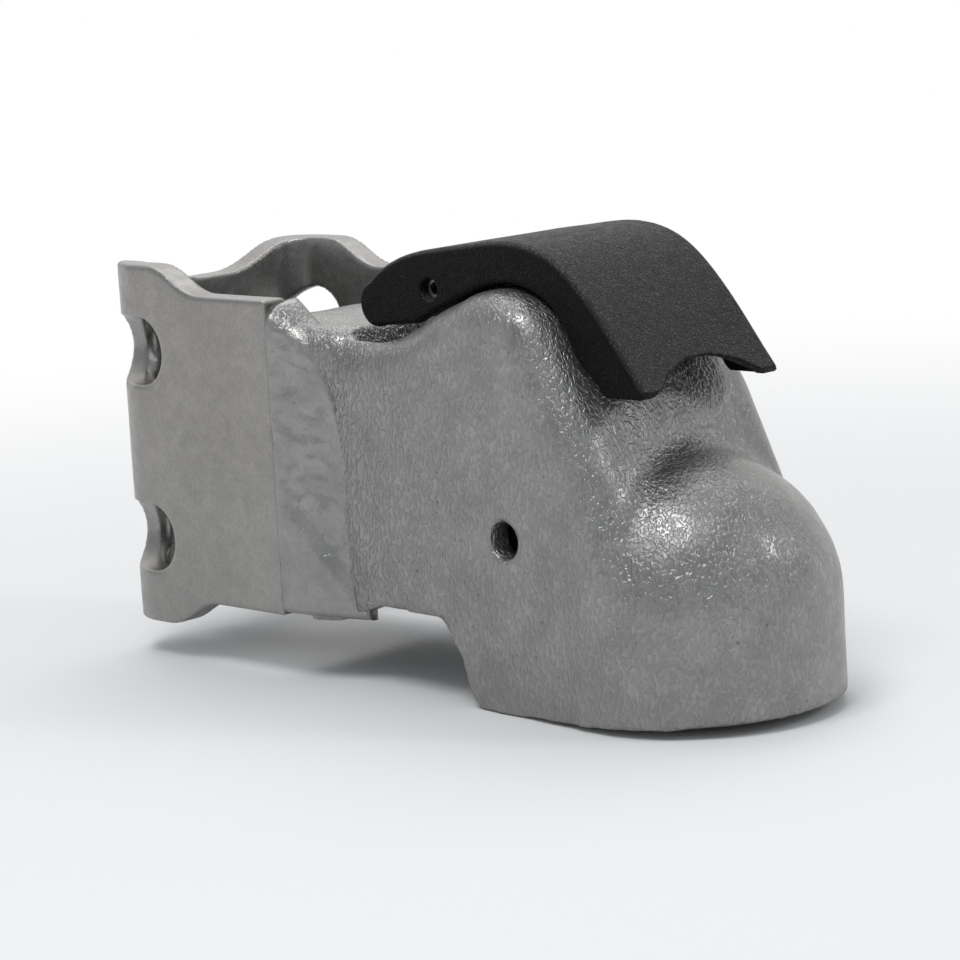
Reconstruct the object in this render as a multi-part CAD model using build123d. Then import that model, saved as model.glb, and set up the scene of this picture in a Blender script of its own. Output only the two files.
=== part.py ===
from build123d import *
import os
from math import acos, atan2, cos, hypot, radians, sin, tan

# Trailer coupler head. Millimetres, +Z up, +X towards the nose, origin at the centre of the hitch ball.

# Ball socket
ball_d = 58.7
ball_gap = 0.55
dome_wall = 8.0
dome_rise = 0.5
skirt_draft = 0.3
dome_proud = 0.3

# Channel yoke, bent from plate
yoke_w = 76.2
plate_t = 7.94
bend_r = 16.0
yoke_rear_x = -180.8
leg_front_x = -112.0
yoke_mid_z = 33.1
horn_h = 50.0
leg_h = 42.4
leg_dip_start = 20.5
leg_dip_end = 43.0
web_dip_start = 33.0
web_dip_end = 3.5
slot_r = 9.5
slot_pitch = 52.2
slot_x = -164.65
slot_end_y = 36.4

# Casting, outside
neck_rear_x = -118.0
neck_gap = 0.04
rear_top_z = 69.8
saddle_x = -74.0
saddle_z = 67.3
crest_points = [(-66.0, 69.9), (-57.2, 74.0), (-48.7, 77.5), (-43.2, 79.5), (-37.0, 80.7), (-31.1, 80.4)]
brow_points = [(-26.2, 78.9), (-21.4, 76.2), (-17.9, 72.3), (-15.4, 68.0), (-12.8, 63.3)]
brow_foot_z = 48.0
tower_lean = 23.4
tower_foot_x = 16.6
shoulder_r = 9.5
blend_r = 8.0
collar_x = -105.4
collar_len = 12.4
collar_rise = 4.3
collar_step = 2.5
toe_rim_z = -20.6
heel_x = -45.0
heel_z = -26.5
arch_x = -54.0
belly_z = -4.4
neck_bottom_z = -10.4
rim_bend_r = 4.0

# Casting, inside
side_wall = 7.2
front_wall = 7.5
rear_wall = 8.0
roof_wall = 8.0
stop_wall = 8.0
stop_x = -58.0
guide_rib = 5.0
guide_front_x = -48.8
guide_low_z = 8.0
roof_pad_z = 62.0
lug_w = 16.0
lug_r = 5.0
tail_pocket_z = 56.8

# Padlock hole
lock_hole_x = -31.2
lock_hole_z = 18.5
lock_hole_r = 4.75

# Latch handle
handle_inset = 4.2
handle_wall = 3.8
handle_skin = 4.0
handle_gap = 0.7
handle_clear = 0.95
handle_back = [(-84.6, 80.4), (-74.4, 86.6), (-50.8, 91.0), (-36.3, 92.5)]
handle_brow = [(-20.6, 89.2), (-8.5, 79.4), (3.9, 64.2), (9.6, 57.0)]
handle_tail = [(-80.0, 69.0), (-87.6, 71.6), (-88.2, 76.2)]
lip_z = 55.2
lip_x = 8.8
lip_t = 12.8
handle_lift_deg = 35.0
pivot_x = -62.2
pivot_z = 79.3
pivot_boss_r = 5.2
lip_scallop = 7.0
lip_corner = 5.0
edge_r = 1.6

# Pins
spring_pin_r = 2.38
pin_wall = 0.7
pin_play = 0.05
pin_fit = 0.02
pin_recess = 2.6
recess_r = 2.9
clamp_pin_r = 5.0
clamp_pin_x = -19.5
clamp_pin_z = 41.0
clamp_pin_bite = 4.0

# Lock plunger and spring
lift_arm = 18.0
ear_t = 5.0
ear_r = 4.6
ear_play = 0.4
ear_room = 3.6
stem_t = 6.0
stem_w = 10.0
plunger_w = 26.0
plunger_low_z = 4.0
plunger_top_z = 34.0
stem_foot = 8.0
stem_pin_r = 1.5
wedge_slope = 0.45
wedge_gap = 0.3
slide_play = 0.35
wire_d = 2.2
spring_od = 19.0
spring_turns = 4.5
washer_t = 2.0
washer_r = 11.5

# Ball clamp
clamp_play = 1.5
clamp_toe_w = 32.0
clamp_toe_z = -19.0
clamp_hub_r = 8.5
clamp_slot_w = 22.0
seat_gap = 0.3
lock_hole_room = 0.85

# Welds
weld_overlap = 3.0
weld_sink = 0.6
weld_cover = 1.2
weld_top = [(1.0, 0.0), (6.6, 4.4), (12.6, 9.8), (17.0, 19.0), (20.0, 34.0)]
weld_foot_len = 21.6
weld_foot_h = 31.4
weld_curve = [(1.0, 0.05), (0.98, 0.25), (0.76, 0.49), (0.53, 0.7), (0.37, 0.86), (0.0, 1.0)]

# Values that follow from the ones above
ball_r = ball_d / 2
socket_r = ball_r + ball_gap
dome_r = socket_r + dome_wall
half_yoke = yoke_w / 2
leg_in_y = half_yoke - plate_t
neck_y = leg_in_y - neck_gap
slot_zs = [yoke_mid_z + slot_pitch / 2, yoke_mid_z - slot_pitch / 2]
# The flared side runs from the leg's front end to where it is tangent to the dome
tower_r = dome_r - dome_proud
tangent_at = atan2(neck_y, leg_front_x) - acos(tower_r / hypot(neck_y, leg_front_x))
flare_x = tower_r * cos(tangent_at)
flare_y = tower_r * sin(tangent_at)
flare_slope = (flare_y - neck_y) / (flare_x - leg_front_x)
half_lift = radians(handle_lift_deg / 2)
lift_x = pivot_x + lift_arm * cos(half_lift)
lift_z = pivot_z - lift_arm * sin(half_lift)
lift_travel = 2 * lift_arm * sin(half_lift)
lift_drift = lift_arm - lift_arm * cos(half_lift)
handle_w = 2 * neck_y - 2 * handle_inset
pocket_y = handle_w / 2 + handle_gap
collar_y = neck_y + collar_rise
stem_gap = stem_t / 2 + ear_play
handle_top = handle_back + handle_brow
slide_y = plunger_w / 2 + slide_play


def offset_points(points, distance):
    """The same run of points moved sideways, outwards for a top that is listed from tail to nose."""
    moved = []
    for i, (x, z) in enumerate(points):
        x0, z0 = points[max(i - 1, 0)]
        x1, z1 = points[min(i + 1, len(points) - 1)]
        run = hypot(x1 - x0, z1 - z0)
        moved.append((x - distance * (z1 - z0) / run, z + distance * (x1 - x0) / run))
    return moved


def side_y(x):
    """Half width of the casting's flat side at x."""
    return neck_y + (x - leg_front_x) * flare_slope


def tower_x(z, inset=0.0):
    """Where the leaning front face of the tower is at height z."""
    lean = radians(tower_lean)
    return tower_foot_x - z * tan(lean) - inset / cos(lean)


def wedge_x(z):
    """Back of the ball clamp's nose, which leans with the wedge."""
    return lock_hole_x - 10.8 + wedge_slope * (z - lock_hole_z)


def side_plate(points, half_width):
    """A slab across the casting, drawn in X and Z."""
    wire = Polyline(*points, close=True)
    return Plane.XZ * extrude(make_face(wire), half_width, both=True)


def round_plate(points, radius, half_width):
    """The same slab with its corners rounded."""
    wire = FilletPolyline(*points, radius=radius, close=True)
    return Plane.XZ * extrude(make_face(wire), half_width, both=True)


def from_above(points, z_low, z_high):
    """A straight-sided block, drawn in X and Y."""
    wire = Polyline(*points, close=True)
    return Pos(0, 0, z_low) * extrude(make_face(wire), z_high - z_low)


def cross_pin(radius, x, z, y_low, y_high):
    """A round bar along Y."""
    bar = Cylinder(radius, y_high - y_low)
    return Pos(x, (y_low + y_high) / 2, z) * Rot(90, 0, 0) * bar


def mirror_y(shape):
    return mirror(shape, about=Plane.XZ)


def box_between(x0, x1, y0, y1, z0, z1):
    block = Box(x1 - x0, y1 - y0, z1 - z0)
    return Pos((x0 + x1) / 2, (y0 + y1) / 2, (z0 + z1) / 2) * block


def wave_cutter(high_at, low_at, far):
    """Outline of what a wavy edge takes away, from the horn at high_at to the flat at low_at."""
    over = horn_h + 9
    wave = Spline((high_at, horn_h), (low_at, leg_h), tangents=[(1, 0), (1, 0)])
    rest = Polyline((low_at, leg_h), (far, leg_h), (far, over), (high_at, over), (high_at, horn_h))
    return make_face([wave, rest])


def bolt_slot(z):
    """Slot on the near side for a channel bolt, open round the bend, with a round end in leg and web."""
    web_end = Cylinder(slot_r, slot_x - yoke_rear_x + 6)
    across = cross_pin(slot_r, slot_x, z, leg_in_y - 6, half_yoke + 5)
    along = Pos((slot_x + yoke_rear_x) / 2 - 3, slot_end_y, z) * Rot(0, 90, 0) * web_end
    corner = box_between(yoke_rear_x - 6, slot_x, slot_end_y, half_yoke + 5, z - slot_r, z + slot_r)
    return across + along + corner


def channel_yoke():
    """U of bent plate with wavy edges and two bolt slots that wrap each bend."""
    rear = yoke_rear_x
    front = leg_front_x
    in_x = rear + plate_t
    outer_corners = [(front, half_yoke), (rear, half_yoke), (rear, -half_yoke), (front, -half_yoke)]
    inner_corners = [(front, leg_in_y), (in_x, leg_in_y), (in_x, -leg_in_y), (front, -leg_in_y)]
    outer = FilletPolyline(*outer_corners, radius=bend_r)
    inner = FilletPolyline(*inner_corners, radius=bend_r - plate_t)
    ends = [Line((front, s * half_yoke), (front, s * leg_in_y)) for s in (1, -1)]
    body = extrude(make_face([outer, inner] + ends), horn_h, both=True)
    leg_wave = wave_cutter(rear + leg_dip_start, rear + leg_dip_end, front + 5)
    leg_cut = Plane.XZ * extrude(leg_wave, yoke_w, both=True)
    half_web = Plane.YZ * extrude(wave_cutter(-web_dip_start, -web_dip_end, 0), bend_r, both=True)
    web_cut = Pos(rear, 0, 0) * (half_web + mirror_y(half_web))
    body = body - leg_cut - web_cut - mirror(leg_cut, about=Plane.XY) - mirror(web_cut, about=Plane.XY)
    body = Pos(0, 0, yoke_mid_z) * body
    for z in slot_zs:
        slot = bolt_slot(z)
        body = body - slot - mirror_y(slot)
    return body


def casting_slab():
    """The casting's side view above the belly: neck, saddle, crest and leaning tower face."""
    lean = radians(tower_lean)
    rear_top = (neck_rear_x, rear_top_z)
    brow_foot = (tower_x(brow_foot_z), brow_foot_z)
    over = [rear_top, (leg_front_x, rear_top_z), (saddle_x, saddle_z)]
    over += crest_points + brow_points + [brow_foot]
    top = Spline(*over, tangents=[(1, 0), (sin(lean), -cos(lean))])
    foot = (tower_x(0), 0)
    rest = Polyline(brow_foot, foot, (tower_x(0), -40), (neck_rear_x, -40), rear_top)
    return Plane.XZ * extrude(make_face([top, rest]), 60, both=True)


def both_sides(side):
    """Close a half outline, drawn in X and Y, across the middle."""
    return side + [(x, -y) for x, y in reversed(side)]


def shoulder_edges(body, least):
    return [e for e in body.edges() if abs(e.center().Y) > 20 and e.center().Z > 25 and e.length > least]


def casting_outside():
    """Tower, saddle and neck between flared flat sides, with the ball dome growing out of the front."""
    front = tower_x(0) + 1
    plan = both_sides([(neck_rear_x, neck_y), (leg_front_x, neck_y), (front, side_y(front))])
    body = casting_slab() & from_above(plan, -45, 100)
    body = fillet(shoulder_edges(body, 30), shoulder_r)
    body = body + collar()
    body = body + mirror_y(collar())
    nose_room = Pos(0, 0, -50) * extrude(Circle(tower_r), 170)
    body = body & (nose_room + box_between(neck_rear_x - 5, flare_x, -60, 60, -50, 120))
    trim = below_the_rim()
    return (body - trim) + (dome() - trim)


def soften_valley(body):
    """Round the valley where the dome runs into the tower."""
    valley = [e for e in body.edges() if -4 < e.center().X < 14 and 5 < e.center().Z < 45]
    valley = [e for e in valley if abs(e.center().Y) < dome_r - 1.4 and e.geom_type != GeomType.LINE]
    valley = [e for e in valley if e.center().length > dome_r - 1.5]
    return fillet(valley, blend_r)


def collar():
    """Raised rib round the neck just ahead of the weld, near side."""
    end = collar_x + collar_len
    flat_end = collar_x + collar_step
    plan = [(collar_x, 5), (collar_x, collar_y), (flat_end, collar_y), (end, side_y(end) - 0.2), (end, 5)]
    fall = (rear_top_z - saddle_z) / (saddle_x - leg_front_x)
    top_z = rear_top_z - 0.5 - fall * (collar_x - leg_front_x)
    side = [(collar_x - 1, top_z + fall), (end + 1, top_z - fall * (collar_len + 1))]
    side += [(end + 1, -40), (collar_x - 1, -40)]
    body = from_above(plan, -45, 100) & side_plate(side, 60)
    rim = [e for e in body.edges() if e.center().Z > 60 and e.center().Y > collar_y - 2]
    return fillet(rim, shoulder_r - 2)


def dome():
    """The round nose over the ball, with a slightly drafted skirt."""
    bottom = (dome_r + skirt_draft, -40)
    top = (0, dome_rise + dome_r)
    equator = (dome_r, dome_rise)
    crown = CenterArc((0, dome_rise), dome_r, 0, 90)
    rest = Polyline(top, (0, -40), bottom, equator)
    return revolve(Plane.XZ * make_face([crown, rest]), Axis.Z)


def below_the_rim():
    """What the lower edge leaves off: gently sloping skirt, heel, arch and belly."""
    points = [(60, toe_rim_z - 1.8), (-28, heel_z), (heel_x, heel_z), (heel_x - 4.5, -14)]
    points += [(arch_x - 3, belly_z), (-80, belly_z), (-97, neck_bottom_z), (-130, neck_bottom_z)]
    points += [(-130, -60), (60, -60)]
    return round_plate(points, rim_bend_r, 60)


def chamber():
    """The hollow behind the ball: latch chamber and the space under the saddle."""
    rear = neck_rear_x + rear_wall
    low = -60
    tail_roof = tail_pocket_z - roof_wall
    chest = tower_x(roof_pad_z + 3, front_wall)
    neck_roof = rear_top_z - roof_wall
    points = [(rear, low), (rear, neck_roof), (-98, neck_roof), (-92, tail_roof), (stop_x, tail_roof)]
    points += [(stop_x, roof_pad_z), (chest - 6, roof_pad_z), (chest - 4, roof_pad_z + 3)]
    points += [(chest, roof_pad_z + 3), (tower_x(14, front_wall), 14), (tower_x(14, front_wall), low)]
    y_rear = neck_y - side_wall
    plan = [(rear, y_rear), (leg_front_x, y_rear), (0, side_y(0) - side_wall - 0.5)]
    return side_plate(points, 60) & from_above(both_sides(plan), low, 100)


def ball_room():
    """Round room for the ball, open straight down."""
    low = -60
    dome_line = CenterArc((0, 0), socket_r, 0, 90)
    rest = Polyline((0, socket_r), (0, low), (socket_r, low), (socket_r, 0))
    return Rot(0, 0, 180) * revolve(Plane.XZ * make_face([dome_line, rest]), Axis.Z)


def coupler_body():
    """Ductile iron casting, hollow and open below."""
    body = casting_outside() - chamber() - ball_room()
    stop_y = side_y(stop_x) - side_wall / 2
    body += box_between(stop_x - stop_wall, stop_x, -stop_y, stop_y, belly_z + 1, tail_pocket_z - 4)
    for side in (1, -1):
        ys = sorted((side * slide_y, side * (slide_y + guide_rib)))
        body += box_between(stop_x - 1, guide_front_x, *ys, guide_low_z, plunger_top_z + lift_travel)
    # Room for the handle's tail to swing down in, and the lug that carries its pin
    tail = [(-92.0, 95), (-92.0, 67), (-86, tail_pocket_z), (-69.5, tail_pocket_z), (-58.5, 69), (-56.5, 95)]
    body -= side_plate(tail, pocket_y)
    root_z = tail_pocket_z - 3
    lug_side = [(pivot_x - lug_r, root_z), (stop_x - 1, root_z), (stop_x - 1, roof_pad_z + 3)]
    lug_side += [(pivot_x + lug_r, pivot_z), (pivot_x - lug_r, pivot_z)]
    lug = side_plate(lug_side, lug_w / 2)
    lug += cross_pin(lug_r, pivot_x, pivot_z, -lug_w / 2, lug_w / 2)
    body += lug
    body -= cross_pin(spring_pin_r + pin_play, pivot_x, pivot_z, -lug_w, lug_w)
    # Well for the lifting ears, with a slot for the stem in its floor
    well_y = stem_gap + ear_t + 2 * ear_play
    well_x = ear_r + ear_room
    body -= box_between(lift_x - well_x, lift_x + well_x, -well_y, well_y, lift_z - ear_r - ear_room / 2, 95)
    stem_x = stem_w / 2 + slide_play
    stem_y = stem_t / 2 + slide_play
    body -= box_between(lift_x - stem_x, lift_x + stem_x, -stem_y, stem_y, roof_pad_z - 1, 95)
    # Clamp pin, blind on the near side, and the padlock hole
    far_y = side_y(clamp_pin_x)
    blind_y = side_wall - clamp_pin_bite - far_y
    body -= cross_pin(clamp_pin_r + pin_fit, clamp_pin_x, clamp_pin_z, blind_y, far_y + 5)
    body -= cross_pin(lock_hole_r, lock_hole_x, lock_hole_z, -60, 60)
    return soften_valley(body)


def ball_clamp():
    """Cast jaw that hangs behind the ball, with a round seat and a nose for the wedge."""
    x, z = clamp_pin_x, clamp_pin_z
    nose_low = 2.0
    nose_top = 27.0
    side_back = lock_hole_x - 9.8
    broad = [(x + clamp_hub_r - 1, z - 4), (x + 10, 27), (-14, 20), (-14, clamp_toe_z)]
    broad += [(-36, clamp_toe_z), (side_back, -9), (side_back, 25), (x - clamp_hub_r + 0.6, z + 2)]
    nose = [(-20, -9), (side_back, -9), (wedge_x(nose_low), nose_low)]
    nose += [(wedge_x(nose_top), nose_top), (-20, nose_top)]
    half = side_y(side_back) - side_wall - clamp_play
    toe = clamp_toe_w / 2
    front_view = both_sides([(60, half), (6, half), (-8, toe), (-40, toe)])
    wire = Polyline(*[(y, z_) for z_, y in front_view], close=True)
    body = side_plate(broad, half) + cross_pin(clamp_hub_r, x, z, -half, half)
    body += side_plate(nose, plunger_w / 2)
    body = body & (Plane.YZ * extrude(make_face(wire), 90, both=True))
    body -= Sphere(ball_r + seat_gap)
    body -= cross_pin(clamp_pin_r + pin_play, x, z, -60, 60)
    body -= cross_pin(lock_hole_r + lock_hole_room, lock_hole_x, lock_hole_z, -60, 60)
    # Flat lane for the wedge, and the arms part round the pin
    lane_low = clamp_toe_z - 9
    lane = [(-70, lane_low), (wedge_x(lane_low), lane_low), (wedge_x(z - 3), z - 3), (-70, z - 3)]
    body -= side_plate(lane, plunger_w / 2 + slide_play)
    body -= box_between(x - 20, x + 20, -clamp_slot_w / 2, clamp_slot_w / 2, z - clamp_hub_r - 2, z + 20)
    return body


def clamp_pin():
    far_y = side_y(clamp_pin_x)
    blind_y = side_wall - clamp_pin_bite - far_y
    pin = cross_pin(clamp_pin_r, clamp_pin_x, clamp_pin_z, blind_y + 0.3, far_y - 0.4)
    return chamfer([e for e in pin.edges() if e.geom_type == GeomType.CIRCLE], 0.6)


def lock_plunger():
    """Cast wedge that drops behind the clamp, slotted for the foot of its stem."""
    back = stop_x + 0.3
    low, top = plunger_low_z, plunger_top_z
    wedge = [(back, low), (wedge_x(low) - wedge_gap, low), (wedge_x(top) - wedge_gap, top), (back, top)]
    body = side_plate(wedge, plunger_w / 2)
    foot_z = top - stem_foot
    body -= box_between(lift_x - stem_w / 2, lift_x + stem_w / 2, -stem_t / 2, stem_t / 2, foot_z, top + 1)
    return body - cross_pin(stem_pin_r + 0.01, lift_x, top - stem_foot / 2, -plunger_w, plunger_w)


def lift_stem():
    """Flat bar from the wedge up to the lift pin, with a slotted eye."""
    top = lift_z + ear_r
    foot_z = plunger_top_z - stem_foot
    body = box_between(lift_x - stem_w / 2, lift_x + stem_w / 2, -stem_t / 2, stem_t / 2, foot_z, top)
    crown = [e for e in body.edges() if e.center().Z > top - 0.1 and abs(e.center().X - lift_x) > 1]
    body = fillet(crown, 3.5)
    slot_room = spring_pin_r + wedge_gap
    slot_rear = lift_x - 0.1
    slot_front = lift_x + lift_drift + 0.1
    for x in (slot_rear, slot_front):
        body -= cross_pin(slot_room, x, lift_z, -10, 10)
    body -= box_between(slot_rear, slot_front, -10, 10, lift_z - slot_room, lift_z + slot_room)
    return body - cross_pin(stem_pin_r + 0.01, lift_x, plunger_top_z - stem_foot / 2, -plunger_w, plunger_w)


def lock_spring():
    """Round wire coil between the wedge's shoulder and the washer."""
    coil_r = (spring_od - wire_d) / 2
    low = plunger_top_z + wire_d / 2 + 0.05
    high = roof_pad_z - washer_t - wire_d / 2 - 0.05
    path = Helix((high - low) / spring_turns, high - low, coil_r)
    start = Plane(origin=path @ 0, z_dir=path % 0)
    coil = sweep(start * Circle(wire_d / 2), path, is_frenet=True)
    return Pos(lift_x, 0, low) * coil


def spring_washer():
    disc = Pos(lift_x, 0, roof_pad_z - washer_t / 2) * Cylinder(washer_r, washer_t)
    x = stem_w / 2 + slide_play
    y = stem_t / 2 + slide_play
    return disc - box_between(lift_x - x, lift_x + x, -y, y, 0, 100)


def rolled_pin(radius, x, z, length):
    """Slotted tube pin rolled from strip."""
    pin = cross_pin(radius, x, z, -length / 2, length / 2)
    pin -= cross_pin(radius - pin_wall, x, z, -length, length)
    return pin - box_between(x, x + 4, -length, length, z - 0.4, z + 0.4)


def handle_outline():
    back = Spline(*handle_top)
    front = (lip_x, lip_z)
    under_front = (lip_x - lip_t, lip_z)
    lip = Line(back @ 1, front)
    base = Line(front, under_front)
    over_casting = offset_points(crest_points + brow_points, handle_clear)
    under = Spline(under_front, *reversed(over_casting), handle_tail[0], tangents=[(-0.55, 0.83), (-1, -0.1)])
    tail = Spline(handle_tail[0], *handle_tail[1:], back @ 0)
    return make_face([back, lip, base, under, tail])


def latch_handle():
    """Moulded lever: curved skin with side walls, open below, ears inside for the lift pin."""
    half = handle_w / 2
    body = Plane.XZ * extrude(handle_outline(), half, both=True)
    rims = [e for e in body.edges() if abs(abs(e.center().Y) - half) < 0.01 and e.center().X < 0]
    body = fillet(rims, edge_r)
    inner = offset_points(handle_top, -handle_skin)
    inside = Spline(*inner)
    rest = Polyline(inner[-1], (inner[-1][0] + 3, 40), (inner[0][0] + 2, 40), inner[0])
    body -= Plane.XZ * extrude(make_face([inside, rest]), half - handle_wall, both=True)
    # Arched finger scallop in the lip
    reach = half - lip_corner
    arch_r = (reach ** 2 + lip_scallop ** 2) / (2 * lip_scallop)
    body -= Pos(lip_x - 1, 0, lip_z + lip_scallop - arch_r) * Rot(0, 90, 0) * Cylinder(arch_r, 16)
    skin_z = pivot_z + 8
    rear, front = lift_x - ear_r, lift_x + ear_r
    ear = side_plate([(rear, lift_z), (front, lift_z), (front, skin_z + 2), (rear, skin_z + 1)], ear_t / 2)
    ear += cross_pin(ear_r, lift_x, lift_z, -ear_t / 2, ear_t / 2)
    for side in (1, -1):
        body += Pos(0, side * (stem_gap + ear_t / 2), 0) * ear
        b0, b1 = sorted((side * (lug_w / 2 + 0.6), side * (half - handle_wall / 2)))
        body += cross_pin(pivot_boss_r, pivot_x, pivot_z, b0, b1)
        body += box_between(pivot_x - 2.5, pivot_x + 2.5, b0, b1, pivot_z, skin_z)
    body -= cross_pin(spring_pin_r + pin_fit, lift_x, lift_z, -15, 15)
    body -= cross_pin(spring_pin_r + pin_fit, pivot_x, pivot_z, -half - 1, half + 1)
    for side in (1, -1):
        y0, y1 = sorted((side * (half - pin_recess), side * (half + 1)))
        body -= cross_pin(recess_r, pivot_x, pivot_z, y0, y1)
    return body


def swell(curve, z_low, z_high):
    """Block whose outer face follows a curve, drawn in X and Y, and whose back is inside the casting."""
    back_y = neck_y - weld_overlap
    rest = Polyline(curve[-1], (curve[-1][0], back_y), (curve[0][0], back_y), curve[0])
    return Pos(0, 0, z_low) * extrude(make_face([Spline(*curve), rest]), z_high - z_low)


def weld(casting):
    """Weld on the near side: a soft ramp from the leg's front end over the collar, with a broad foot."""
    x0 = leg_front_x
    low = neck_bottom_z + weld_sink
    top = yoke_mid_z + leg_h - weld_sink
    over_x = collar_x + collar_step
    thin_x = over_x + 6
    end_x = collar_x + collar_len + 1.5
    thin_y = side_y(thin_x) + collar_rise * 0.4
    ramp = [(x0, half_yoke - 0.1), (x0 + 3, half_yoke - 0.5), (over_x, collar_y + weld_cover)]
    ramp += [(thin_x, thin_y), (end_x, side_y(end_x) - 0.4)]
    over = [(x0 + u, top - v) for u, v in weld_top]
    side = [(end_x + 1, over[-1][1] - 20), (end_x + 1, low), (x0, low), (x0, top), over[0]]
    side_face = make_face([Spline(*over), Polyline(over[-1], *side)])
    body = swell(ramp, low, top) & (Plane.XZ * extrude(side_face, 60, both=True))
    curve = [(x0 + u * weld_foot_len, low + v * weld_foot_h) for u, v in weld_curve]
    foot_x = x0 + weld_foot_len + 1
    bulge = [(x0, half_yoke - 0.1), (x0 + 9, half_yoke - 0.7), (x0 + 16, half_yoke - 2.4)]
    bulge += [(foot_x, side_y(foot_x) + weld_cover)]
    foot = side_plate([(x0, low)] + curve, 60) & swell(bulge, low, top)
    return mirror_y(body + foot - casting)


def build():
    casting = coupler_body()
    near_weld = weld(casting)
    pieces = {
        "coupler_body": casting,
        "channel_yoke": channel_yoke(),
        "weld_right": near_weld,
        "weld_left": mirror_y(near_weld),
        "latch_handle": latch_handle(),
        "handle_pivot_pin": rolled_pin(spring_pin_r, pivot_x, pivot_z, handle_w - 2 * pin_recess),
        "lift_pin": rolled_pin(spring_pin_r, lift_x, lift_z, 2 * (stem_gap + ear_t)),
        "lock_plunger": lock_plunger(),
        "lift_stem": lift_stem(),
        "stem_pin": rolled_pin(stem_pin_r, lift_x, plunger_top_z - stem_foot / 2, plunger_w - 1),
        "lock_spring": lock_spring(),
        "spring_washer": spring_washer(),
        "ball_clamp": ball_clamp(),
        "clamp_pin": clamp_pin(),
    }
    os.makedirs("parts", exist_ok=True)
    for name, shape in pieces.items():
        export_step(shape, f"parts/{name}.step")


if __name__ == "__main__":
    build()
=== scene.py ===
import bpy
import bmesh
from mathutils import Matrix, Vector, noise
from mathutils.bvhtree import BVHTree


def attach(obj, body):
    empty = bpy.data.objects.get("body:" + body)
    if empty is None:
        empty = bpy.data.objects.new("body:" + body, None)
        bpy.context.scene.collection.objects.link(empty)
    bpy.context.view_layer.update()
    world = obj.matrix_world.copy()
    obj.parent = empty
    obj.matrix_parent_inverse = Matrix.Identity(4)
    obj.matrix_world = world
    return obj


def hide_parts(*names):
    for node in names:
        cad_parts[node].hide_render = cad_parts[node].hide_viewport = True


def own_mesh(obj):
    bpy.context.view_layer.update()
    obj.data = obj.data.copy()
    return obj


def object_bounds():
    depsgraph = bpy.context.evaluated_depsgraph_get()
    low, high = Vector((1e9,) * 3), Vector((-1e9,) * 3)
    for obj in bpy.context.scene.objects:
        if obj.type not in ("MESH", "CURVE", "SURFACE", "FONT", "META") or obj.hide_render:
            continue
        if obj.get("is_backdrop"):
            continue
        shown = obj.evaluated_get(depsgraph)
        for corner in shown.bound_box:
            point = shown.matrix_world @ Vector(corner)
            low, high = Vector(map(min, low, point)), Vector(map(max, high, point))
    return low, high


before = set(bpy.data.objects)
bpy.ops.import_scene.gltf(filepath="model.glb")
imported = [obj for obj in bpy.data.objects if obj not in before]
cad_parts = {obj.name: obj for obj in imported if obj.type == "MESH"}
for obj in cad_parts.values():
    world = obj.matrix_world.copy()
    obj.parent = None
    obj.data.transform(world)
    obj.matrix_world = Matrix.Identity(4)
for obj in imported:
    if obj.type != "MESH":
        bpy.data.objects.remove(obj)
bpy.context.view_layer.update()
print("frame loaded:", len(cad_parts), "nodes")

# the camera is solved from the photograph: places in metres, lens and sensor in millimetres
camera = {
    "eye": (0.54047, -0.62206, 0.17982),
    "right": (0.71776, 0.69413, -0.05479),
    "down": (0.08296, -0.16338, -0.98307),
    "back": (0.69133, -0.70106, 0.17485),
    "lens": 125.23,
    "sensor": 36.0,
    "clipStart": 0.01,
}


def addCamera(c):
    data = bpy.data.cameras.new("photoCamera")
    data.lens = c["lens"]
    data.sensor_width = c["sensor"]
    data.clip_start = c["clipStart"]
    obj = bpy.data.objects.new("photoCamera", data)
    right, up, back = Vector(c["right"]), -Vector(c["down"]), Vector(c["back"])
    turn = Matrix((right, up, back)).transposed().to_4x4()
    obj.matrix_world = Matrix.Translation(c["eye"]) @ turn
    bpy.context.collection.objects.link(obj)
    bpy.context.scene.camera = obj


# where a Mix node keeps its factor, its two values and its result, for each kind of data
mixSockets = {"RGBA": (0, 6, 7, 2), "VECTOR": (0, 4, 5, 1)}
noiseSpan = (0.3, 0.7)  # most of a noise texture's values lie between these


def newGroup(name, inputs, outputs):
    tree = bpy.data.node_groups.new(name, "ShaderNodeTree")
    for label, kind, value in inputs:
        socket = tree.interface.new_socket(label, in_out="INPUT", socket_type=kind)
        if value is not None:
            socket.default_value = value
    for label, kind in outputs:
        tree.interface.new_socket(label, in_out="OUTPUT", socket_type=kind)
    return tree, tree.nodes.new("NodeGroupInput"), tree.nodes.new("NodeGroupOutput")


def addNode(tree, kind, settings=None, **values):
    node = tree.nodes.new(kind)
    for key, value in (settings or {}).items():
        setattr(node, key, value)
    for key, value in values.items():
        node.inputs[key.replace("_", " ")].default_value = value
    return node


def fillSocket(tree, socket, value):
    # a value is either another node's output or a plain number or colour
    if hasattr(value, "is_output"):
        tree.links.new(value, socket)
    else:
        socket.default_value = value


def mathNode(tree, operation, *values):
    node = addNode(tree, "ShaderNodeMath", {"operation": operation})
    for socket, value in zip(node.inputs, values):
        fillSocket(tree, socket, value)
    return node.outputs[0]


def mixNode(tree, kind, *values):
    node = addNode(tree, "ShaderNodeMix", {"data_type": kind})
    *filled, result = mixSockets[kind]
    for slot, value in zip(filled, values):
        fillSocket(tree, node.inputs[slot], value)
    return node.outputs[result]


def rampNode(tree, source, low, high, fromValue=0.0, toValue=1.0):
    node = addNode(tree, "ShaderNodeMapRange", {"clamp": True, "interpolation_type": "SMOOTHSTEP"},
                   From_Min=low, From_Max=high, To_Min=fromValue, To_Max=toValue)
    tree.links.new(source, node.inputs["Value"])
    return node.outputs["Result"]


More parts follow.
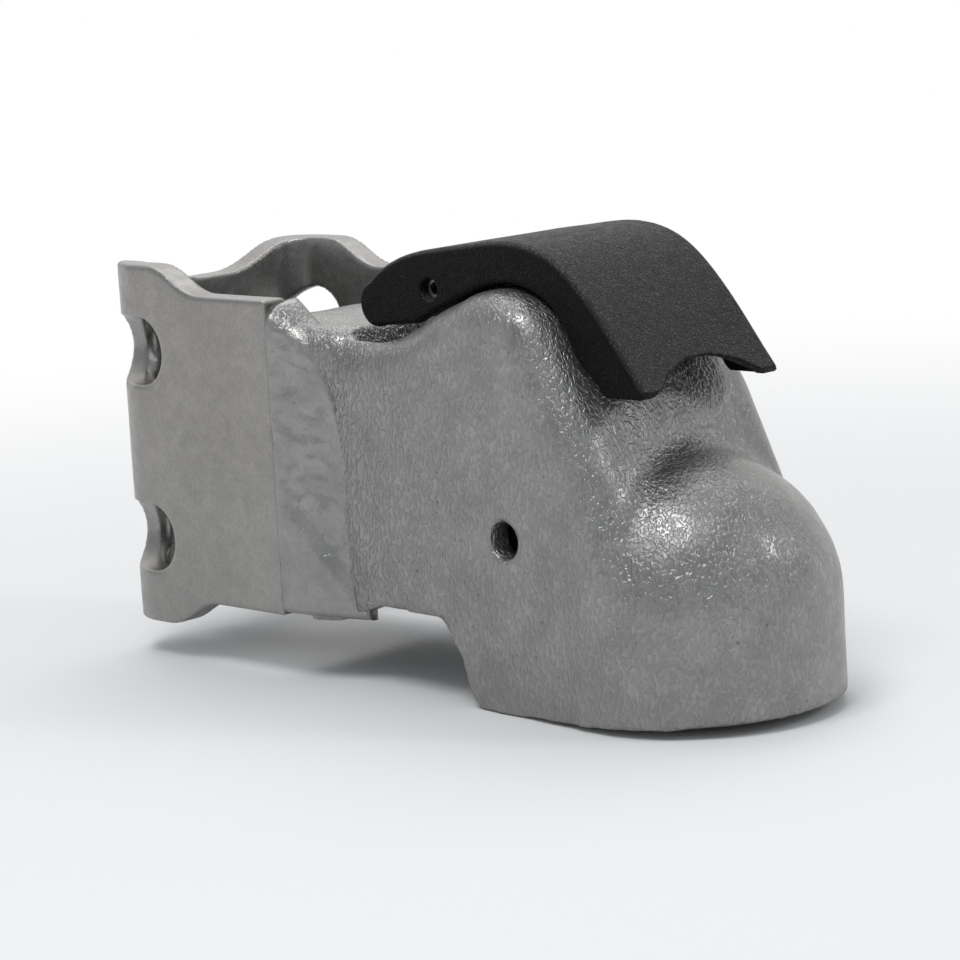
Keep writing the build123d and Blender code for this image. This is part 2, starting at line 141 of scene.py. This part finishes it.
# paint over rough casting: worm-like ripples about a millimetre across, slow swells and pinholes
peelForm = {
    "turn": (0.0, 1.1, 0.0),  # radians: the ripples run longest along a line that leans so
    "stretch": (1.0, 1.0, 0.55),
    "rippleEdge": (0.38, 0.62),
    "pitScale": 190.0,
    "pitEdge": (0.03, 0.1),
}


def makePeelGroup(form):
    tree, inp, out = newGroup("castPeel", [
        ("Vector", "NodeSocketVector", None),
        ("Ripple Scale", "NodeSocketFloat", 700.0),
        ("Ripple", "NodeSocketFloat", 1.0),
        ("Swell Scale", "NodeSocketFloat", 160.0),
        ("Swell", "NodeSocketFloat", 0.5),
        ("Pits", "NodeSocketFloat", 0.5),
    ], [(label, "NodeSocketFloat") for label in ("Height", "Mask", "Pit", "Ridge")])
    link = tree.links.new
    turn = addNode(tree, "ShaderNodeMapping", Rotation=form["turn"], Scale=form["stretch"])
    link(inp.outputs["Vector"], turn.inputs["Vector"])
    ripple = addNode(tree, "ShaderNodeTexNoise", Detail=1.5, Roughness=0.45, Distortion=0.5)
    link(turn.outputs[0], ripple.inputs["Vector"])
    link(inp.outputs["Ripple Scale"], ripple.inputs["Scale"])
    ridge = rampNode(tree, ripple.outputs[0], *form["rippleEdge"])
    swell = addNode(tree, "ShaderNodeTexNoise", Detail=1.0, Roughness=0.4)
    link(inp.outputs["Vector"], swell.inputs["Vector"])
    link(inp.outputs["Swell Scale"], swell.inputs["Scale"])
    pit = addNode(tree, "ShaderNodeTexVoronoi", {"feature": "F1"}, Scale=form["pitScale"])
    link(inp.outputs["Vector"], pit.inputs["Vector"])
    pitHole = rampNode(tree, pit.outputs["Distance"], *form["pitEdge"], 1.0, 0.0)
    height = mathNode(tree, "MULTIPLY", ridge, inp.outputs["Ripple"])
    height = mathNode(tree, "MULTIPLY_ADD", swell.outputs[0], inp.outputs["Swell"], height)
    deep = mathNode(tree, "MULTIPLY", pitHole, inp.outputs["Pits"])
    height = mathNode(tree, "SUBTRACT", height, deep)
    for label, source in (("Height", height), ("Mask", swell.outputs[0]), ("Pit", deep), ("Ridge", ridge)):
        link(source, out.inputs[label])
    return tree


castPeel = makePeelGroup(peelForm)


def startMaterial(name, colour, metallic, roughness, coat=0.0, coatRoughness=0.1):
    material = bpy.data.materials.new(name)
    material.use_nodes = True
    tree = material.node_tree
    shader = tree.nodes["Principled BSDF"]
    shader.inputs["Base Color"].default_value = colour
    shader.inputs["Metallic"].default_value = metallic
    shader.inputs["Roughness"].default_value = roughness
    shader.inputs["Coat Weight"].default_value = coat
    shader.inputs["Coat Roughness"].default_value = coatRoughness
    return material, tree, shader, tree.nodes.new("ShaderNodeTexCoord")


def addBump(tree, shader, height, look):
    bump = addNode(tree, "ShaderNodeBump", Strength=look["bump"], Distance=look["depth"])
    tree.links.new(height, bump.inputs["Height"])
    tree.links.new(bump.outputs[0], shader.inputs["Normal"])


def varyRoughness(tree, shader, source, middle, vary):
    low, high = middle - vary["smoother"], middle + vary["rougher"]
    tree.links.new(rampNode(tree, source, *noiseSpan, low, high), shader.inputs["Roughness"])


castLook = {
    "colour": (0.33, 0.326, 0.318, 1),
    "shade": (0.275, 0.271, 0.265, 1),
    "mottle": 90.0,
    "valleyShade": 0.2,  # how much painted shade darkens the valleys between ripples
    "metallic": 0.85,
    "roughness": 0.37,
    "coat": 0.2,
    "coatRoughness": 0.28,
    "bump": 1.0,
    "depth": 0.00018,
    "peel": {"Ripple Scale": 1050.0, "Ripple": 1.0, "Swell Scale": 220.0, "Swell": 1.6, "Pits": 0.5},
}
plateLook = {
    "colour": (0.335, 0.325, 0.314, 1),
    "shade": (0.295, 0.286, 0.276, 1),
    "mottle": 40.0,
    # painted shade in the valleys between ripples
    "valleyShade": 0.16,
    "metallic": 0.85,
    "roughness": 0.38,
    "coat": 0.12,
    "coatRoughness": 0.25,
    "bump": 0.5,
    "depth": 0.00006,
    "peel": {"Ripple Scale": 1700.0, "Ripple": 0.7, "Swell Scale": 330.0, "Swell": 0.8, "Pits": 0.15},
}
# the welds get less painted shade in their ripple valleys
weldLook = dict(castLook, valleyShade=0.06, peel=dict(castLook["peel"], Ripple=0.4, Swell=1.8, Pits=0.3))
paintForm = {
    # the colour of the painted shade in the valleys between ripples
    "valleyShadeColour": (0.12, 0.115, 0.11, 1),
    # the colour of the painted shade inside the pinholes
    "pitShadeColour": (0.05, 0.05, 0.05, 1),
    "pitMost": 0.7,
    "smoother": 0.05,
    "rougher": 0.06,
}


def silverPaint(name, look, form):
    material, tree, shader, coords = startMaterial(
        name, look["colour"], look["metallic"], look["roughness"], look["coat"], look["coatRoughness"])
    place = coords.outputs["Object"]
    peel = addNode(tree, "ShaderNodeGroup", {"node_tree": castPeel})
    tree.links.new(place, peel.inputs["Vector"])
    for label, value in look["peel"].items():
        peel.inputs[label].default_value = value
    addBump(tree, shader, peel.outputs["Height"], look)
    mottle = addNode(tree, "ShaderNodeTexNoise", Scale=look["mottle"], Detail=3.0, Roughness=0.6)
    tree.links.new(place, mottle.inputs["Vector"])
    tone = mixNode(tree, "RGBA", rampNode(tree, mottle.outputs[0], *noiseSpan), look["shade"], look["colour"])
    # painted shade: the valleys between ripples are darkened
    valleyShade = mathNode(tree, "MULTIPLY_ADD", peel.outputs["Ridge"], -look["valleyShade"], look["valleyShade"])
    tone = mixNode(tree, "RGBA", valleyShade, tone, form["valleyShadeColour"])
    # painted shade inside the pinholes
    pitShade = mathNode(tree, "MINIMUM", peel.outputs["Pit"], form["pitMost"])
    tone = mixNode(tree, "RGBA", pitShade, tone, form["pitShadeColour"])
    tree.links.new(tone, shader.inputs["Base Color"])
    varyRoughness(tree, shader, peel.outputs["Mask"], look["roughness"], form)
    return material


# fine leather grain; faces that look up are painted paler as painted top light, most on the grain's high
# spots
handleLook = {
    "colour": (0.003, 0.003, 0.0031, 1),
    # the pale colour painted on upward faces as painted top light
    "paintedLightColour": (0.075, 0.075, 0.077, 1),
    "roughness": 0.48,
    "smoother": 0.06,
    "rougher": 0.08,
    "gloss": 0.15,
    "grain": 1050.0,
    "drift": 0.4,  # the drift's scale as a share of the grain's
    "warp": 0.002,  # how far the drift bends the grain
    "pebble": (0.0, 0.25),
    "highSpots": (0.0, 0.35),
    "lowSpots": 0.35,  # how much of the painted top light the grooves get
    "paintedLightMask": (0.15, 0.75),  # from here up to here, a face that looks up gets painted top light
    "bump": 1.0,
    "depth": 0.0003,
}


def blackPlastic(look):
    material, tree, shader, coords = startMaterial("blackPlastic", look["colour"], 0.0, look["roughness"])
    place = coords.outputs["Object"]
    shader.inputs["Specular IOR Level"].default_value = look["gloss"]
    drift = addNode(tree, "ShaderNodeTexNoise", Scale=look["grain"] * look["drift"], Detail=2.0)
    tree.links.new(place, drift.inputs["Vector"])
    bent = mixNode(tree, "VECTOR", look["warp"], place, drift.outputs["Color"])
    cells = addNode(tree, "ShaderNodeTexVoronoi", {"feature": "DISTANCE_TO_EDGE"}, Scale=look["grain"])
    tree.links.new(bent, cells.inputs["Vector"])
    pebble = rampNode(tree, cells.outputs["Distance"], *look["pebble"])
    addBump(tree, shader, pebble, look)
    # painted top light: faces that look up are painted paler, most on the grain's high spots
    facing = tree.nodes.new("ShaderNodeSeparateXYZ")
    tree.links.new(coords.outputs["Normal"], facing.inputs[0])
    upward = rampNode(tree, facing.outputs["Z"], *look["paintedLightMask"])
    high = rampNode(tree, cells.outputs["Distance"], *look["highSpots"], look["lowSpots"], 1.0)
    paintedLightMask = mathNode(tree, "MULTIPLY", upward, high)
    tone = mixNode(tree, "RGBA", paintedLightMask, look["colour"], look["paintedLightColour"])
    tree.links.new(tone, shader.inputs["Base Color"])
    varyRoughness(tree, shader, drift.outputs[0], look["roughness"], look)
    return material


steelLooks = {
    "zincSteel": {"colour": (0.55, 0.54, 0.5, 1), "roughness": 0.35, "streak": 900.0},
    "blackSteel": {"colour": (0.08, 0.08, 0.082, 1), "roughness": 0.35, "streak": 900.0},
    "bareIron": {"colour": (0.16, 0.16, 0.165, 1), "roughness": 0.5, "streak": 500.0},
}
steelForm = {"darker": 0.7, "smoother": 0.08, "rougher": 0.1, "bump": 0.2, "depth": 0.0001}


def plainSteel(name, look, form):
    material, tree, shader, coords = startMaterial(name, look["colour"], 1.0, look["roughness"])
    grain = addNode(tree, "ShaderNodeTexNoise", Scale=look["streak"], Detail=3.0)
    tree.links.new(coords.outputs["Object"], grain.inputs["Vector"])
    varyRoughness(tree, shader, grain.outputs[0], look["roughness"], form)
    dark = tuple(form["darker"] * v for v in look["colour"][:3]) + (1,)
    tone = mixNode(tree, "RGBA", grain.outputs[0], dark, look["colour"])
    tree.links.new(tone, shader.inputs["Base Color"])
    addBump(tree, shader, grain.outputs[0], form)
    return material


castPaint = silverPaint("castPaint", castLook, paintForm)
platePaint = silverPaint("platePaint", plateLook, paintForm)
weldPaint = silverPaint("weldPaint", weldLook, paintForm)
handlePlastic = blackPlastic(handleLook)
steels = {name: plainSteel(name, look, steelForm) for name, look in steelLooks.items()}

finishes = {
    "handle_pivot_pin": "zincSteel",
    "lift_pin": "blackSteel",
    "stem_pin": "blackSteel",
    "lock_plunger": "bareIron",
    "ball_clamp": "bareIron",
    "lift_stem": "zincSteel",
    "spring_washer": "zincSteel",
    "clamp_pin": "zincSteel",
}
for node, finish in finishes.items():
    kept = bpy.data.objects[node]
    kept.data.materials.clear()
    kept.data.materials.append(steels[finish])
print("materials ready,", len(finishes), "nodes carried over")

copyMerge = 1e-6  # metres: a CAD mesh is loose triangles whose corners meet within this


def remeshedCopy(node, form):
    # an even skin over the CAD shape, with its sharp edges softened as paint and casting do
    mesh = bpy.data.objects[node].data.copy()
    work = bmesh.new()
    work.from_mesh(mesh)
    bmesh.ops.remove_doubles(work, verts=work.verts, dist=copyMerge)
    work.to_mesh(mesh)
    work.free()
    mesh.materials.clear()
    rough = bpy.data.objects.new(form["name"] + "Rough", mesh)
    bpy.context.collection.objects.link(rough)
    remesh = rough.modifiers.new("evenSkin", "REMESH")
    remesh.mode = "VOXEL"
    remesh.voxel_size = form["voxel"]
    soften = rough.modifiers.new("soften", "SMOOTH")
    soften.factor = 0.5
    soften.iterations = form["soften"]
    graph = bpy.context.evaluated_depsgraph_get()
    skin = bpy.data.meshes.new_from_object(rough.evaluated_get(graph))
    skin.name = form["name"]
    bpy.data.objects.remove(rough)
    skin.shade_smooth()
    return skin


def outerShare(skin, form):
    # 1 where a vertex looks out into the open, 0 inside the hollow
    tree = BVHTree.FromPolygons([v.co for v in skin.vertices], [tuple(p.vertices) for p in skin.polygons])
    share = []
    for v in skin.vertices:
        out = v.normal
        hit = tree.ray_cast(v.co + out * form["liftOff"], out, form["lookOut"])
        share.append(0.0 if hit[0] is not None else 1.0)
    return share


def roughen(skin, waves, share=None):
    # each wave is (length, height) in metres; normals are read before any point moves
    normals = [v.normal.copy() for v in skin.vertices]
    for i, v in enumerate(skin.vertices):
        lift = sum(height * noise.noise(v.co / length) for length, height in waves)
        v.co += normals[i] * (lift * (share[i] if share else 1.0))


def finishPiece(skin, name, node, body, material):
    skin.materials.append(material)
    piece = bpy.data.objects.new(name, skin)
    bpy.context.collection.objects.link(piece)
    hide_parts(node)
    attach(piece, body)
    print(name, "made,", len(skin.polygons), "faces")


castingForm = {
    "name": "castingSkin",
    "voxel": 0.0011,
    "soften": 4,
    "waves": [(0.012, 0.00022), (0.0045, 0.00012)],
    "liftOff": 0.0015,
    "lookOut": 0.08,
}
casting = remeshedCopy("coupler_body", castingForm)
roughen(casting, castingForm["waves"], outerShare(casting, castingForm))
finishPiece(casting, castingForm["name"], "coupler_body", "housing", castPaint)

yokeForm = {"name": "yokeSkin", "voxel": 0.00066, "soften": 4, "waves": [(0.02, 0.0001)]}
yoke = remeshedCopy("channel_yoke", yokeForm)
roughen(yoke, yokeForm["waves"])
finishPiece(yoke, yokeForm["name"], "channel_yoke", "housing", platePaint)

# the welds are swept skins, in millimetres; the first number of each curve's points is the way ahead
# of the leg's end, and the second is the distance from the middle (ramp, foot) or a height
weldForm = {
    "legEnd": -112.0,
    "low": -9.8,
    "backY": 27.5,
    "backStep": 1.0,
    "ramp": [(-0.6, 37.4), (0.0, 37.95), (1.5, 37.9), (3.5, 37.1), (6.0, 35.9), (9.1, 35.1), (15.1, 33.1),
             (21.0, 31.2), (24.5, 30.6)],
    "foot": [(-0.6, 37.4), (0.0, 37.95), (6.0, 37.4), (12.0, 36.0), (17.0, 34.2), (21.0, 32.4),
             (24.5, 30.6)],
    "footTop": [(-0.6, 22.0), (8.0, 17.2), (11.4, 12.2), (16.4, 5.6), (21.2, -1.9), (21.6, -8.2),
                (24.5, -12.0)],
    "topEdge": [(-0.6, 74.9), (1.0, 74.9), (6.6, 70.5), (12.6, 65.1), (17.0, 55.9), (20.0, 41.0),
                (24.5, 20.0)],
    "topRound": 6.0,
    "lowRound": 2.5,
    "footBlend": 7.0,
    "lumps": [(3.2, 0.45), (8.0, 0.6)],  # length and height
    "lumpsIn": 2.0,  # they grow over this much
    "lumpsOut": 14.0,  # and fade from here
    "lumpsFade": 6.0,  # over this much
    "footCalm": 0.75,
    "across": 40,
    "along": 120,
    "merge": 1e-7,  # metres
}
mmPerMetre = 1000


def alongCurve(points, at):
    # a smooth curve through the points, read at one place
    at = min(max(at, points[0][0]), points[-1][0])
    last = len(points) - 1
    i = next(k for k in range(last) if at <= points[k + 1][0])
    x0, y0 = points[i]
    x1, y1 = points[i + 1]
    before, after = points[max(i - 1, 0)], points[min(i + 2, last)]
    slope0 = (y1 - before[1]) / (x1 - before[0])
    slope1 = (after[1] - y0) / (after[0] - x0)
    t = (at - x0) / (x1 - x0)
    step = x1 - x0
    return ((2 * t ** 3 - 3 * t ** 2 + 1) * y0 + (t ** 3 - 2 * t ** 2 + t) * step * slope0
            + (3 * t ** 2 - 2 * t ** 3) * y1 + (t ** 3 - t ** 2) * step * slope1)


def easeStep(t):
    t = min(max(t, 0.0), 1.0)
    return t * t * (3 - 2 * t)


def weldPoint(w, ahead, z, top):
    inFoot = easeStep((alongCurve(w["footTop"], ahead) - z) / w["footBlend"] + 0.5)
    y = alongCurve(w["ramp"], ahead) * (1 - inFoot) + alongCurve(w["foot"], ahead) * inFoot
    spot = Vector((ahead, 0, z))
    rise = sum(height * noise.noise(spot / length) for length, height in w["lumps"])
    window = easeStep(ahead / w["lumpsIn"]) * (1 - easeStep((ahead - w["lumpsOut"]) / w["lumpsFade"]))
    y += rise * window * (1 - w["footCalm"] * inFoot)
    # the edges roll back into the casting, over a longer way at the top
    fromTop = z - (top - w["topRound"])
    fromLow = (w["low"] + w["lowRound"] - z) * w["topRound"] / w["lowRound"]
    edge = max(0.0, fromTop, fromLow)
    return w["backY"] + (y - w["backY"]) * (1 - min(edge / w["topRound"], 1.0) ** 2) ** 0.5


def makeWeld(name, side, w):
    work = bmesh.new()
    start, end = w["ramp"][0][0], w["ramp"][-1][0]
    rows = []
    for i in range(w["across"] + 1):
        ahead = start + (end - start) * i / w["across"]
        top = alongCurve(w["topEdge"], ahead)
        x = (w["legEnd"] + ahead) / mmPerMetre
        row = []
        for k in range(w["along"] + 1):
            z = w["low"] + (top - w["low"]) * k / w["along"]
            y = side * weldPoint(w, ahead, z, top) / mmPerMetre
            row.append(work.verts.new((x, y, z / mmPerMetre)))
        rows.append(row)
    for a, b in zip(rows, rows[1:]):
        for k in range(w["along"]):
            work.faces.new((a[k], b[k], b[k + 1], a[k + 1]))
    rim = [e for e in work.edges if e.is_boundary]
    for part in bmesh.ops.extrude_edge_only(work, edges=rim)["geom"]:
        if isinstance(part, bmesh.types.BMVert):
            part.co.y = side * (w["backY"] - w["backStep"]) / mmPerMetre
    backRim = [e for e in work.edges if e.is_boundary]
    bmesh.ops.contextual_create(work, geom=backRim)
    bmesh.ops.remove_doubles(work, verts=work.verts, dist=w["merge"])
    bmesh.ops.recalc_face_normals(work, faces=work.faces)
    mesh = bpy.data.meshes.new(name)
    work.to_mesh(mesh)
    work.free()
    mesh.shade_smooth()
    return mesh


for name, node, side in (("weldSkinRight", "weld_right", -1), ("weldSkinLeft", "weld_left", 1)):
    weld = makeWeld(name, side, weldForm)
    finishPiece(weld, name, node, "housing", weldPaint)

handleForm = {"name": "handleSkin", "voxel": 0.0006, "soften": 3, "waves": [(0.03, 0.00012)]}
handle = remeshedCopy("latch_handle", handleForm)
roughen(handle, handleForm["waves"])
finishPiece(handle, handleForm["name"], "latch_handle", "handle", handlePlastic)

coilForm = {
    "name": "lockCoil",
    "foot": (-0.04503, 0.0, 0.03515),
    "inputs": {"Coil Radius": 0.0084, "Rise": 0.0237, "Turns": 4.5, "Wire Radius": 0.0011},
    "perTurn": 28,
    "around": 10,
    "top": 0.06,
    "pressed": 0.583,  # its share of length when the wedge is fully up
}


def makeCoilTree(c, material):
    tree = bpy.data.node_groups.new("coilTree", "GeometryNodeTree")
    ids = {}
    for label, value in c["inputs"].items():
        socket = tree.interface.new_socket(label, in_out="INPUT", socket_type="NodeSocketFloat")
        socket.default_value = value
        ids[label] = socket.identifier
    tree.interface.new_socket("Geometry", in_out="OUTPUT", socket_type="NodeSocketGeometry")
    inp, out = tree.nodes.new("NodeGroupInput"), tree.nodes.new("NodeGroupOutput")
    link = tree.links.new
    spiral = addNode(tree, "GeometryNodeCurveSpiral", Resolution=c["perTurn"])
    link(inp.outputs["Coil Radius"], spiral.inputs["Start Radius"])
    link(inp.outputs["Coil Radius"], spiral.inputs["End Radius"])
    link(inp.outputs["Rise"], spiral.inputs["Height"])
    link(inp.outputs["Turns"], spiral.inputs["Rotations"])
    ring = addNode(tree, "GeometryNodeCurvePrimitiveCircle", Resolution=c["around"])
    link(inp.outputs["Wire Radius"], ring.inputs["Radius"])
    wire = addNode(tree, "GeometryNodeCurveToMesh", Fill_Caps=True)
    link(spiral.outputs[0], wire.inputs["Curve"])
    link(ring.outputs[0], wire.inputs["Profile Curve"])
    place = addNode(tree, "GeometryNodeTransform", Translation=c["foot"])
    link(wire.outputs[0], place.inputs["Geometry"])
    solid = tree.nodes.new("GeometryNodeRealizeInstances")
    link(place.outputs[0], solid.inputs[0])
    paint = addNode(tree, "GeometryNodeSetMaterial", Material=material)
    link(solid.outputs[0], paint.inputs["Geometry"])
    link(paint.outputs[0], out.inputs[0])
    return tree, ids


def makeCoil(c, material):
    tree, ids = makeCoilTree(c, material)
    maker = bpy.data.objects.new("coilMaker", bpy.data.meshes.new("coilMaker"))
    bpy.context.collection.objects.link(maker)
    winding = maker.modifiers.new("winding", "NODES")
    winding.node_group = tree
    for label, value in c["inputs"].items():
        winding[ids[label]] = value
    graph = bpy.context.evaluated_depsgraph_get()
    mesh = bpy.data.meshes.new_from_object(maker.evaluated_get(graph))
    bpy.data.objects.remove(maker)
    mesh.name = c["name"]
    mesh.shade_smooth()
    coil = bpy.data.objects.new(c["name"], mesh)
    bpy.context.collection.objects.link(coil)
    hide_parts("lock_spring")
    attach(coil, "housing")
    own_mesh(coil)
    print(c["name"], "wound,", len(mesh.polygons), "faces")


makeCoil(coilForm, steels["zincSteel"])

stageLook = {
    "size": 12.0,
    "shade": 0.86,
    "paperRoughness": 0.9,
    "nearEdge": 0.22,  # lit paper up to here
    "farEdge": 0.75,  # plain white from here
    "wallAt": 2.6,
    "wallHigh": 4.0,
}


def whiteMaterial(s):
    # lit paper near the object, so its shadow shows, and plain white further off
    material = bpy.data.materials.new("paperWhite")
    material.use_nodes = True
    tree = material.node_tree
    link = tree.links.new
    shader = tree.nodes["Principled BSDF"]
    shader.inputs["Base Color"].default_value = (s["shade"],) * 3 + (1,)
    shader.inputs["Roughness"].default_value = s["paperRoughness"]
    glow = addNode(tree, "ShaderNodeEmission", Color=(1, 1, 1, 1), Strength=1.0)
    path = tree.nodes.new("ShaderNodeLightPath")
    seen = mathNode(tree, "MAXIMUM", path.outputs["Is Camera Ray"], path.outputs["Is Glossy Ray"])
    seen = mathNode(tree, "MAXIMUM", seen, path.outputs["Is Transmission Ray"])
    coords = tree.nodes.new("ShaderNodeTexCoord")
    away = addNode(tree, "ShaderNodeVectorMath", {"operation": "LENGTH"})
    link(coords.outputs["Object"], away.inputs[0])
    far = rampNode(tree, away.outputs["Value"], s["nearEdge"], s["farEdge"])
    mix = tree.nodes.new("ShaderNodeMixShader")
    link(mathNode(tree, "MULTIPLY", seen, far), mix.inputs[0])
    link(shader.outputs[0], mix.inputs[1])
    link(glow.outputs[0], mix.inputs[2])
    link(mix.outputs[0], tree.nodes["Material Output"].inputs["Surface"])
    return material


def addStage(s):
    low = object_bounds()[0][2]
    half = s["size"] / 2
    across = Vector(camera["right"]).normalized()
    across.z = 0
    deep = Vector((-camera["back"][0], -camera["back"][1], 0)).normalized()
    wall = [deep * s["wallAt"] + across * (half * i) + Vector((0, 0, z))
            for i, z in ((-1, low), (1, low), (1, s["wallHigh"]), (-1, s["wallHigh"]))]
    floor = [(-half, -half, low), (half, -half, low), (half, half, low), (-half, half, low)]
    paper = whiteMaterial(s)
    for name, corners in (("floor", floor), ("backdrop", wall)):
        mesh = bpy.data.meshes.new(name)
        mesh.from_pydata(corners, [], [(0, 1, 2, 3)])
        sheet = bpy.data.objects.new(name, mesh)
        bpy.context.collection.objects.link(sheet)
        sheet.data.materials.append(paper)
        sheet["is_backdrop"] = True


studio = {"sky": (0.48, 0.5, 0.52, 1), "strength": 1.0}


def addWorld(s):
    world = bpy.data.worlds.new("studio")
    bpy.context.scene.world = world
    world.use_nodes = True
    back = world.node_tree.nodes["Background"]
    back.inputs["Color"].default_value = s["sky"]
    back.inputs["Strength"].default_value = s["strength"]


lamps = {
    "keyLamp": {"spot": (0.04, -0.46, 1.0), "aim": (-0.03, 0, 0.03), "size": (0.4, 0.4), "power": 4},
    "noseLamp": {"spot": (0.85, 0.51, 0.67), "aim": (0, 0, 0.03), "size": (0.2, 0.2), "power": 1.6},
    "topLamp": {"spot": (-0.5, 0.5, 1.3), "aim": (-0.05, 0, 0.03), "size": (1.0, 1.0), "power": 6},
}


def addLamps(table):
    for name, l in table.items():
        data = bpy.data.lights.new(name, "AREA")
        data.shape = "RECTANGLE"
        data.size, data.size_y = l["size"]
        data.energy = l["power"]
        lamp = bpy.data.objects.new(name, data)
        lamp.location = l["spot"]
        aim = Vector(l["aim"]) - Vector(l["spot"])
        lamp.rotation_euler = aim.to_track_quat("-Z", "Y").to_euler()
        bpy.context.collection.objects.link(lamp)


addStage(stageLook)
addWorld(studio)
addLamps(lamps)
addCamera(camera)
bpy.context.scene.view_settings.view_transform = "Standard"
print("studio ready")
